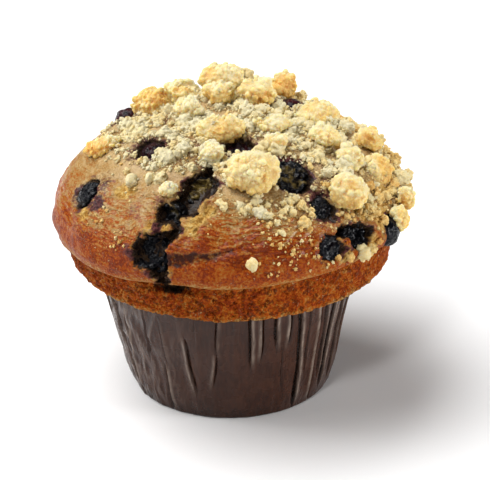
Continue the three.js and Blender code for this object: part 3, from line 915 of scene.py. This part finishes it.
# painted shade in the pores of the band
pits = (0.55 * place.grain(0.75, 3) + 0.45 * place.grain(1.9, 3)).between(0.42, 0.22)
crust_colour = (0.85 * band_here * pits).mixed(crust_colour, PORE_SHADE_COLOUR)
dust = (place.attribute("dusty") + 0.55 * (spots - 0.5)) * speckle.between(0.55, 0.8)
crust_colour = (0.6 * dust).between(0, 1).mixed(crust_colour, DUST_COLOUR)
torn_colour = (0.5 * fine + 0.5 * spots).ramp(CRUMB_COLOURS)
crust_colour = torn_here.mixed(crust_colour, torn_colour)
# the crust under the crumbs, its dark end painted shade between the crumbs
crumbs_lie = (bed_here + 0.6 * (spots - 0.5) + 0.5 * (fine - 0.5)).between(0.35, 0.65)
crust_colour = crumbs_lie.mixed(crust_colour, (0.6 * fine + 0.4 * speckle).ramp(BED_AND_GAP_SHADE_COLOURS))
juice_here = (juicy + 0.35 * (blotches - 0.5) + 0.30 * (fine - 0.5)).between(0.25, 0.75)
crust_colour = (juicy.between(0.0, 0.2) * juice_here).mixed(crust_colour, fine.ramp(JUICE_COLOURS))
crust_colour = (0.9 * syrupy * (0.4 + spots)).between(0.1, 0.9).mixed(crust_colour, SYRUP_COLOUR)
wet_and_shade_colour = (0.5 * fine + 0.5 * spots).ramp(WET_AND_SHADE_COLOURS)
# wet stains, and painted shade in the crack, the pockets and the slot
crust_colour = (wet_and_shaded + 0.3 * (fine - 0.5)).between(0.25, 0.75).mixed(crust_colour, wet_and_shade_colour)
crumbly = torn_here + bed_here
apply_to(skin, Base_Color=crust_colour)
apply_to(skin, Roughness=0.34 + 0.34 * crumbly + 0.36 * band_here - 0.14 * wet_and_shaded + 0.14 * (fine - 0.5))
apply_to(skin, Coat_Weight=0.24 * place.attribute("glazed"))
surface = 0.6 * fine + 0.4 * speckle + 0.5 * spots - 0.8 * wrinkled_here * wrinkle_shade_line
surface = surface - 0.8 * band_here * pits
apply_to(skin, Normal=place.bumpy(surface, 0.34))
cake.data.materials.append(crust)
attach(cake, "root")
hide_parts("muffin")

# ---- Berries ----
# Berries that sank into the crust and burst in the oven. Whole ones are blue-black and shrivelled,
# with a wet sheen. Burst ones have fallen in to ragged dark bowls, and some show their olive flesh.
BERRY_LEVELS = 3
BERRY_GROWTH = 1.04  # makes up for what the smoothing takes off
BERRY_DROP = 0.35
RIDGE_HEIGHT = 0.35
BURST_RIDGES = 0.30  # how much higher the ridges of a burst berry are
RED_BERRIES = {"berry_09": 0.7, "berry_12": 0.7, "berry_11": 0.5, "berry_10": 0.4}
BERRY_COLOURS = [
    (0.1, (0.002, 0.001, 0.002, 1)),
    (0.6, (0.005, 0.006, 0.008, 1)),
    (0.95, (0.014, 0.012, 0.016, 1)),
]
RED_COLOUR = (0.075, 0.012, 0.016, 1)
FLESH_COLOURS = [(0.2, (0.025, 0.015, 0.006, 1)), (0.8, (0.150, 0.105, 0.030, 1))]


def copy_of(node, name):
    """A copy of a solid of the plain model, its loose triangles merged to one skin."""
    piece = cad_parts[node].copy()
    piece.data = piece.data.copy()
    piece.name = name
    piece.parent = None
    piece.hide_render = False
    piece.hide_set(False)
    for key in list(piece.keys()):
        del piece[key]
    bpy.context.scene.collection.objects.link(piece)
    piece.data.materials.clear()
    for layer in list(piece.data.uv_layers):
        piece.data.uv_layers.remove(layer)
    pick(piece)
    bpy.ops.object.mode_set(mode="EDIT")
    bpy.ops.mesh.select_all(action="SELECT")
    bpy.ops.mesh.customdata_custom_splitnormals_clear()
    bpy.ops.mesh.remove_doubles(threshold=WELD / 2 * MM)
    bpy.ops.object.mode_set(mode="OBJECT")
    bpy.ops.object.shade_smooth()
    return piece


berry_skin, skin, place = finish("berry_skin", Specular_IOR_Level=0.16)
shrivel = place.grain(1.1, 2)
patches = place.grain(2.4, 3)
berry_colour = (0.5 * shrivel + 0.5 * patches).ramp(BERRY_COLOURS)
flesh_here = (place.attribute("flesh") + 0.6 * (patches - 0.5)).between(0.3, 0.8)
berry_colour = flesh_here.mixed(berry_colour, (0.5 * shrivel + 0.5 * patches).ramp(FLESH_COLOURS))
red_here = place.attribute("red") * place.grain(1.6, 3)
apply_to(skin, Base_Color=red_here.mixed(berry_colour, RED_COLOUR))
apply_to(skin, Roughness=0.05 + 0.14 * place.grain(2.2, 3))
apply_to(skin, Normal=place.bumpy(shrivel, 0.2))

for i, node in enumerate(BERRIES):
    berry = copy_of(node, "sunken_" + node)
    modified(berry, "SUBSURF", levels=BERRY_LEVELS, render_levels=BERRY_LEVELS)
    places = corners(berry)
    low, high = places.min(axis=0), places.max(axis=0)
    middle, half = (low + high) / 2, (high - low).mean() / 2
    axis = outward(middle[None, :])[0]
    off_axis = places - middle - ((places - middle) @ axis)[:, None] * axis
    beside = np.linalg.norm(off_axis, axis=1) / half
    top = smooth(((places - middle) @ axis) / half, -0.1, 0.3)
    fallen, flesh, mouth = BURST.get(node, (0, 0, 0))
    ridges = 0.5 - 1.6 * np.abs(rough(places, 2.4, 2, 20 + i))
    ridges *= RIDGE_HEIGHT + BURST_RIDGES * (fallen > 0)
    wrinkles = ridges + 0.10 * rough(places, 0.9, 2, 40 + i)
    bowl = fallen * top * (1 - smooth(beside + 0.35 * rough(places, 2.2, 2, 60 + i), 0.35, 0.95))
    normals = rows_of(berry.data.vertex_normals, "vector")
    moved = BERRY_GROWTH * (places - middle) + normals * (wrinkles - 0.1)[:, None]
    move_corners(berry, middle + moved - axis * (bowl + BERRY_DROP)[:, None])
    paint(berry, "red", np.full(len(places), RED_BERRIES.get(node, 0.0)))
    paint(berry, "flesh", flesh * (0.4 + 0.6 * (1 - smooth(beside, 0.4, 0.9))))
    berry.data.materials.append(berry_skin)
    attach(berry, "root")
    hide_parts(node)

# ---- Crumble lumps ----
# Butter, sugar and flour rubbed together: each lump is a ball of fine granules that baked together,
# with a few coarse ones. Lumps are pale cream at the top and golden in their hollows and below, partly
# from browning and partly as painted shade.
LUMPS = [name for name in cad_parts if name.startswith("crumble_")]
LUMP_SHRINK = 0.97
LUMP_INSET = 0.28  # the body of a lump lies this far under its granules
GRAIN_SHAPES = 4
GRAIN_SIZES = (0.24, 0.50)
GRAIN_PROUD = (-0.5, 0.55)  # how far its middle stands out of the lump, as a share of its size
COARSE_SHARE = 0.10
COARSE_GROWTH = 2.2
GRAINS_PER_AREA = 2.2  # a square millimetre
FUSED_VOXEL = 0.2
PEBBLE_WIDTHS = [1, 0.88, 0.76]
LUMP_BUMPS = (0.75, 0.08)  # how high its broad and its narrow bumps are
SMOOTH_LUMPS = {"crumble_02": 0.35, "crumble_04": 0.45, "crumble_12": 0.4, "crumble_06": 0.6}
TOAST = {  # how golden a lump is, from 0 to 1
    "crumble_01": 0.24, "crumble_02": 0.28, "crumble_03": 0.40, "crumble_04": 0.26, "crumble_05": 0.42,
    "crumble_06": 0.55, "crumble_07": 0.30, "crumble_08": 0.40, "crumble_09": 0.10, "crumble_10": 0.35,
    "crumble_11": 0.38, "crumble_12": 0.28, "crumble_13": 0.35, "crumble_14": 0.42, "crumble_15": 0.12,
    "crumble_16": 0.25, "crumble_17": 0.20, "crumble_20": 0.15,
}
PLAIN_TOAST = 0.2
SETTLED = {  # how many millimetres a lump sank in
    "crumble_03": 1.6, "crumble_09": 2.4, "crumble_10": 0.8, "crumble_11": 3.2, "crumble_12": 0.8,
    "crumble_16": 1.6, "crumble_24": 2.6,
}
CRUMBLE_COLOURS = [
    (0.0, (0.67, 0.60, 0.38, 1)),
    (0.25, (0.70, 0.58, 0.30, 1)),
    (0.5, (0.70, 0.485, 0.175, 1)),
    (0.75, (0.65, 0.35, 0.085, 1)),
    (1.0, (0.44, 0.18, 0.032, 1)),
]


def taken_apart(piece):
    """The vertices and faces of a piece, which is then thrown away."""
    vertices = corners(piece)
    faces = np.array([face.vertices for face in piece.data.polygons])
    mesh = piece.data
    bpy.data.objects.remove(piece)
    bpy.data.meshes.remove(mesh)
    return vertices, faces


def pebble(seed, subdivisions, unevenness, feature=0.9):
    """A small uneven ball of radius 1, as its vertices and faces."""
    bpy.ops.object.select_all(action="DESELECT")
    bpy.ops.mesh.primitive_ico_sphere_add(subdivisions=subdivisions, radius=1 * MM)
    vertices, faces = taken_apart(bpy.context.object)
    vertices *= (1 + unevenness * rough(vertices, feature, 2, seed))[:, None] * PEBBLE_WIDTHS
    return vertices, faces


def any_turns(count, draw):
    """Rotations drawn by chance, as matrices."""
    quaternions = draw.normal(size=(4, count))
    w, x, y, z = quaternions / np.linalg.norm(quaternions, axis=0)
    rows = [
        [1 - 2 * (y * y + z * z), 2 * (x * y - z * w), 2 * (x * z + y * w)],
        [2 * (x * y + z * w), 1 - 2 * (x * x + z * z), 2 * (y * z - x * w)],
        [2 * (x * z - y * w), 2 * (y * z + x * w), 1 - 2 * (x * x + y * y)],
    ]
    return np.array(rows).transpose(2, 0, 1)


def strewn(name, shapes, middles, sizes, tones, draw):
    """Copies of the shapes, each turned by chance, joined to one piece. A tone is kept for each."""
    kinds = draw.integers(len(shapes), size=len(middles))
    turns = any_turns(len(middles), draw)
    all_vertices, all_faces, all_tones, count = [], [], [], 0
    for kind, (vertices, faces) in enumerate(shapes):
        mine = np.flatnonzero(kinds == kind)
        placed = np.einsum("nij,vj->nvi", turns[mine], vertices) * sizes[mine][:, None, None]
        placed += middles[mine][:, None, :]
        starts = count + len(vertices) * np.arange(len(mine))
        all_vertices.append(placed.reshape(-1, 3))
        all_faces.append((faces[None] + starts[:, None, None]).reshape(-1, faces.shape[1]))
        all_tones.append(np.repeat(tones[mine], len(vertices)))
        count += len(vertices) * len(mine)
    mesh = bpy.data.meshes.new(name)
    mesh.from_pydata(np.concatenate(all_vertices) * MM, [], np.concatenate(all_faces).tolist())
    piece = linked(name, mesh)
    paint(piece, "tone", np.concatenate(all_tones))
    bpy.ops.object.shade_smooth()
    return piece


def face_areas(piece):
    """The areas of the piece's faces in square millimetres."""
    return rows_of(piece.data.polygons, "area", 1)[:, 0] / MM**2


def fused(piece):
    """Fuses everything in the piece to one skin."""
    modified(piece, "REMESH", mode="VOXEL", voxel_size=FUSED_VOXEL * MM, use_smooth_shade=True)


def crumble_finish(name, colours, clearness, light_reach, pitting):
    """Butter crumble: how much of the light goes into it, and how many millimetres it gets."""
    material, skin, place = finish(
        name,
        Specular_IOR_Level=0.2,
        Subsurface_Weight=clearness,
        Subsurface_Radius=(1, 0.8, 0.4),
        Subsurface_Scale=light_reach * MM,
    )
    fine = place.grain(0.5, 3)
    speckle = place.grain(0.28, 2)
    toasted = place.attribute("tone") + 0.18 * (fine - 0.5) + 0.14 * (speckle - 0.5)
    toasted = toasted + 0.14 * (place.grain(2.4, 3) - 0.5) + 0.16 * (place.grain(9, 2) - 0.5)
    apply_to(skin, Base_Color=toasted.ramp(colours))
    apply_to(skin, Roughness=0.60 + 0.25 * fine)
    apply_to(skin, Normal=place.bumpy(0.6 * fine + 0.4 * speckle, pitting))
    return material


crumble = crumble_finish("baked_crumble", CRUMBLE_COLOURS, clearness=0.85, light_reach=3, pitting=0.12)

draw = np.random.default_rng(5)
grains = [pebble(seed, subdivisions=2, unevenness=0.25) for seed in range(GRAIN_SHAPES)]
for i, node in enumerate(LUMPS):
    lump = copy_of(node, "lump_" + node)
    areas = face_areas(lump)
    smoothness = SMOOTH_LUMPS.get(node, 1.0)
    count = int(areas.sum() * GRAINS_PER_AREA)
    chosen = draw.choice(len(areas), count, p=areas / areas.sum())
    vertices = corners(lump)
    faces = np.array([face.vertices for face in lump.data.polygons])
    shares = draw.dirichlet([1, 1, 1], count)
    spots = (vertices[faces[chosen]] * shares[:, :, None]).sum(axis=1)
    sizes = draw.uniform(*GRAIN_SIZES, count)
    sizes *= np.where(draw.random(count) < COARSE_SHARE, COARSE_GROWTH, 1)
    proud = draw.uniform(*GRAIN_PROUD, count) * sizes * smoothness - LUMP_INSET
    spots += rows_of(lump.data.polygons, "normal")[chosen] * proud[:, None]
    low, high = vertices.min(axis=0), vertices.max(axis=0)
    middle, half = (low + high) / 2, (high - low) / 2
    move_corners(lump, vertices - rows_of(lump.data.vertex_normals, "vector") * LUMP_INSET)
    knobs = strewn("knobs", grains, spots, sizes, np.zeros(count), draw)
    pick(knobs, lump)
    bpy.ops.object.join()
    lump.data.attributes.remove(lump.data.attributes["tone"])
    fused(lump)
    vertices = corners(lump)
    broad, narrow = LUMP_BUMPS
    bumps = broad * rough(vertices, 3.9, 2, 140 + i) + narrow * rough(vertices, 0.6, 2, 80 + i)
    vertices += rows_of(lump.data.vertex_normals, "vector") * (smoothness * bumps)[:, None]
    vertices = middle + (vertices - middle) * LUMP_SHRINK
    vertices -= outward(middle[None, :]) * SETTLED.get(node, 0)
    move_corners(lump, vertices)
    reach = np.linalg.norm((vertices - middle) / half, axis=1)
    # partly browning and partly painted shade: the tone is more golden in the hollows and towards the
    # underside
    hollow = 1 - smooth(reach, 0.80, 0.98)
    tone = 0.06 + TOAST.get(node, PLAIN_TOAST) + 0.20 * hollow - 0.22 * (vertices - middle)[:, 2] / half[2]
    tone += 0.20 * rough(vertices, 4.5, 2, 110 + i)
    paint(lump, "tone", tone)
    lump.data.materials.append(crumble)
    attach(lump, "root")
    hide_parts(node)

# ---- Small crumbs ----
# Crumble that broke up as it was strewn: knots of granules, single granules and a fine sand, thick
# over the top and the right, and only a dusting on the smooth crust at the front. Each crumb sits a
# little in the crust, and the knots at the foot of a lump join it to the crumbs round it.
STREWN_CRUMBS = {
    # how many, smallest and largest half size, how close to the lumps (in half sizes of a lump), how
    # far its middle is above the crust (in half sizes of its own), how golden
    "crumble_clumps": (170, 1.9, 3.4, 0.9, 0.1, 0.10),
    "small_clumps": (400, 1.0, 2.0, 0.85, 0.15, 0.14),
    "lump_skirts": (130, 0.9, 2.2, 0.8, 0.2, 0.16),
    "coarse_crumbs": (800, 0.7, 1.7, 0.85, 0.2, 0.16),
    "medium_crumbs": (1900, 0.28, 0.72, 0.8, 0.4, 0.13),
    "fine_crumbs": (4500, 0.15, 0.34, 0.75, 0.5, 0.12),
}
PLACED_CLUMPS = [
    # azimuth, how far down, half size, lift: clumps on the edge at the lower right, and at the top
    (-43.5, 1.0, 3.1, 0),
    (-40, 0.99, 2.0, 0),
    (-49, 0.985, 1.8, 0),
    (-54, 0.96, 1.3, 0),
    (-36, 0.97, 1.4, 0),
    (-30, 0.86, 1.9, 0),
    (-33, 0.79, 1.6, 0),
    (-24, 0.73, 2.0, 0),
    (112, 0.34, 2.6, 1.0),
    (109, 0.32, 2.3, 3.6),
    (79, 0.29, 2.8, 2.2),
    (82, 0.29, 2.4, 5.0),
    (55, 0.44, 2.4, 1.2),
    (16, 0.67, 2.8, 1.2),
]
KNOT_SHAPES = 12
KNOT_KINDS = [(60, 1150), (30, 480), (12, 165)]  # how many granules fuse to a knot, and its triangles
KNOT_WIDTHS = [2.1, 1.8, 1.4]
KNOT_GRAINS = (0.3, 0.75)
KNOT_CORE = 1.75  # the granule in the middle, which carries the others
KNOT_REACH = 3
SMALL_ONES = 1.7  # the higher, the more of the crumbs are small
TONE_SPREAD = 0.13
LOW_TOAST = 0.30  # crumbs low on the crown are this much more golden
SPARSE = 0.16  # how thick the crumbs lie between the patches, where 1 is thick
BERRY_ROOM = 1.45  # the clumps keep this far from a berry, in half sizes of it
EDGE_ROOM = 0.3  # and all crumbs this far from the pockets and the crack, in millimetres
SKIRT_AT = 1.02  # the skirt lies this far from a lump's middle, in half sizes of it
LOOSE_COLOURS = [
    (0.0, (0.71, 0.64, 0.42, 1)),
    (0.25, (0.75, 0.625, 0.33, 1)),
    (0.5, (0.73, 0.51, 0.185, 1)),
    (0.75, (0.60, 0.31, 0.075, 1)),
    (1.0, (0.42, 0.16, 0.028, 1)),
]
DRIFTS = [
    # azimuth, how far down, spread in millimetres, how many: small heaps on the smooth crust
    (-72, 0.79, 3.5, 22),
    (-67, 0.86, 3.0, 8),
    (-62, 0.82, 4.0, 18),
    (-68, 0.72, 4.0, 16),
    (-128, 0.82, 3.0, 9),
    (-60, 0.93, 4.0, 6),
    (-141, 0.70, 3.0, 9),
    (-78, 0.93, 3.0, 5),
    (-88, 0.62, 5.0, 10),
    (-75, 0.66, 4.0, 16),
    (-131, 0.46, 4.0, 14),
    (-114, 0.47, 4.0, 8),
    (-150, 0.40, 4.0, 12),
]
DRIFT_SIZES = (0.3, 0.9)
LONE_CRUMBS = [
    # azimuth, how far down, half size
    (-83, 0.875, 1.68),
    (-137, 0.465, 1.92),
    (-128.5, 0.425, 1.6),
    (-86, 0.512, 1.28),
    (-66, 0.60, 1.2),
    (-72, 0.70, 0.96),
]
BEAD_SHAPES = 5
SPECK_SHAPES = 5
NUGGET_SHAPES = 3

cake_faces = rows_of(cake.data.polygons, "center") / MM
cake_normals = rows_of(cake.data.polygons, "normal")
cake_areas = face_areas(cake)
first_corner = np.empty(len(cake.data.polygons), np.int32)
cake.data.polygons.foreach_get("loop_start", first_corner)
corner_of = np.empty(len(cake.data.loops), np.int32)
cake.data.loops.foreach_get("vertex_index", corner_of)
face_corner = corner_of[first_corner]
face_down = down[face_corner]
face_open = (pocket[face_corner] > EDGE_ROOM) & (crack[face_corner] > EDGE_ROOM)
face_open &= height[face_corner] > LEDGE_HEIGHT + 2
thick = bed[face_corner]
dusted = (1 - smooth(face_down, 0.72, 0.97)) * smooth(rough(cake_faces, 6, 2, 91), -0.1, 0.4)
loose = SPARSE * fringe[face_corner]


def away_from(nodes):
    """How far the cake's faces are from the nearest of the nodes, in half sizes of that node."""
    nearest = np.full(len(cake_faces), FAR_OFF)
    for node in nodes:
        low, high = [np.array(end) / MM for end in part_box(node)]
        away = np.linalg.norm((cake_faces - (low + high) / 2) / ((high - low) / 2 + 0.4), axis=1)
        nearest = np.minimum(nearest, away)
    return nearest


lump_cover = away_from(LUMPS)
clear_of_berries = away_from(BERRIES) > BERRY_ROOM


def crumbled(name, shapes, chosen, halves, proud, tone, draw):
    """Copies of the shapes, each pressed a little into the crust at one of the cake's faces."""
    middles = cake_faces[chosen] + cake_normals[chosen] * (halves * proud)[:, None]
    tones = tone + draw.normal(0, TONE_SPREAD, len(chosen))
    tones += LOW_TOAST * smooth(face_down[chosen], 0.40, 0.70)
    piece = strewn(name, shapes, middles, halves, tones, draw)
    piece.data.materials.append(loose_crumble)
    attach(piece, "root")


def spread(count, cover, near_lumps, draw):
    """Faces of the cake drawn by chance, by area and by how thick the crumbs lie."""
    weight = cake_areas * cover * face_open * (lump_cover > near_lumps)
    return draw.choice(len(weight), count, p=weight / weight.sum(), replace=False)


def sizes_between(low, high, count, draw):
    """Most of them small and a few large."""
    return low + (high - low) * draw.random(count) ** SMALL_ONES


def strew(name, shapes, cover, draw):
    """Strews one kind of crumbs over the cake, thick where the cover is high."""
    count, smallest, largest, near_lumps, proud, tone = STREWN_CRUMBS[name]
    chosen = spread(count, cover, near_lumps, draw)
    halves = sizes_between(smallest, largest, count, draw)
    crumbled(name, shapes, chosen, halves, proud, tone, draw)


def knotted(count, face_count, draw):
    """A knot of granules fused round a big one, of radius 1: its vertices and its triangles."""
    spots = draw.normal(size=(count, 3))
    spots *= (draw.uniform(0.8, 1.1, count) / np.linalg.norm(spots, axis=1))[:, None] * KNOT_WIDTHS
    sizes = draw.uniform(*KNOT_GRAINS, count)
    spots[0], sizes[0] = 0, KNOT_CORE
    knot = strewn("knot", grains, spots, sizes, np.zeros(count), draw)
    fused(knot)
    modified(knot, "TRIANGULATE")
    modified(knot, "DECIMATE", ratio=face_count / len(knot.data.polygons))
    vertices, faces = taken_apart(knot)
    return vertices / KNOT_REACH, faces


loose_crumble = crumble_finish("loose_crumble", LOOSE_COLOURS, clearness=0.12, light_reach=0.5, pitting=0.2)
draw = np.random.default_rng(11)
knots, small_knots, chunks = [[knotted(*kind, draw) for _ in range(KNOT_SHAPES)] for kind in KNOT_KINDS]
strew("crumble_clumps", knots, thick * clear_of_berries, draw)
strew("small_clumps", small_knots, (thick + 0.5 * loose) * clear_of_berries, draw)
strew("lump_skirts", small_knots, hump(lump_cover, SKIRT_AT, 0.14) * (0.15 + thick + loose), draw)

nearest = np.array([from_spot(cake_faces, *row[:2]).argmin() for row in PLACED_CLUMPS])
halves, lifts = np.array([row[2:] for row in PLACED_CLUMPS]).T
crumbled("placed_clumps", knots, nearest, halves, proud=0.25 + lifts / halves, tone=0.2, draw=draw)
strew("coarse_crumbs", chunks, loose + thick, draw)

in_drifts = []
for azimuth, how_far, reach, count in DRIFTS:
    in_drifts.append(spread(count, hump(from_spot(cake_faces, azimuth, how_far), 0, reach), 0, draw))
in_drifts = np.concatenate(in_drifts)
halves = sizes_between(*DRIFT_SIZES, len(in_drifts), draw)
crumbled("drifted_crumbs", chunks, in_drifts, halves, proud=0.3, tone=0.25, draw=draw)

beads = [pebble(20 + seed, subdivisions=1, unevenness=0.28) for seed in range(BEAD_SHAPES)]
strew("medium_crumbs", beads, 0.004 * dusted + loose + thick, draw)

ends = np.array([[1, 0, 0], [0, 1, 0], [0, 0, 1], [-1, 0, 0], [0, -1, 0], [0, 0, -1]], float)
sides = np.array([[0, 1, 2], [1, 3, 2], [3, 4, 2], [4, 0, 2], [1, 0, 5], [3, 1, 5], [4, 3, 5], [0, 4, 5]])
specks = [(ends * draw.uniform(0.7, 1.3, (6, 1)), sides) for _ in range(SPECK_SHAPES)]
strew("fine_crumbs", specks, 0.006 * dusted + 1.5 * loose + thick, draw)

nearest = np.array([from_spot(cake_faces, *row[:2]).argmin() for row in LONE_CRUMBS])
halves = np.array([row[2] for row in LONE_CRUMBS])
nuggets = [pebble(30 + seed, subdivisions=3, unevenness=0.42, feature=0.7) for seed in range(NUGGET_SHAPES)]
crumbled("lone_crumbs", nuggets, nearest, halves, proud=0.3, tone=0.05, draw=draw)
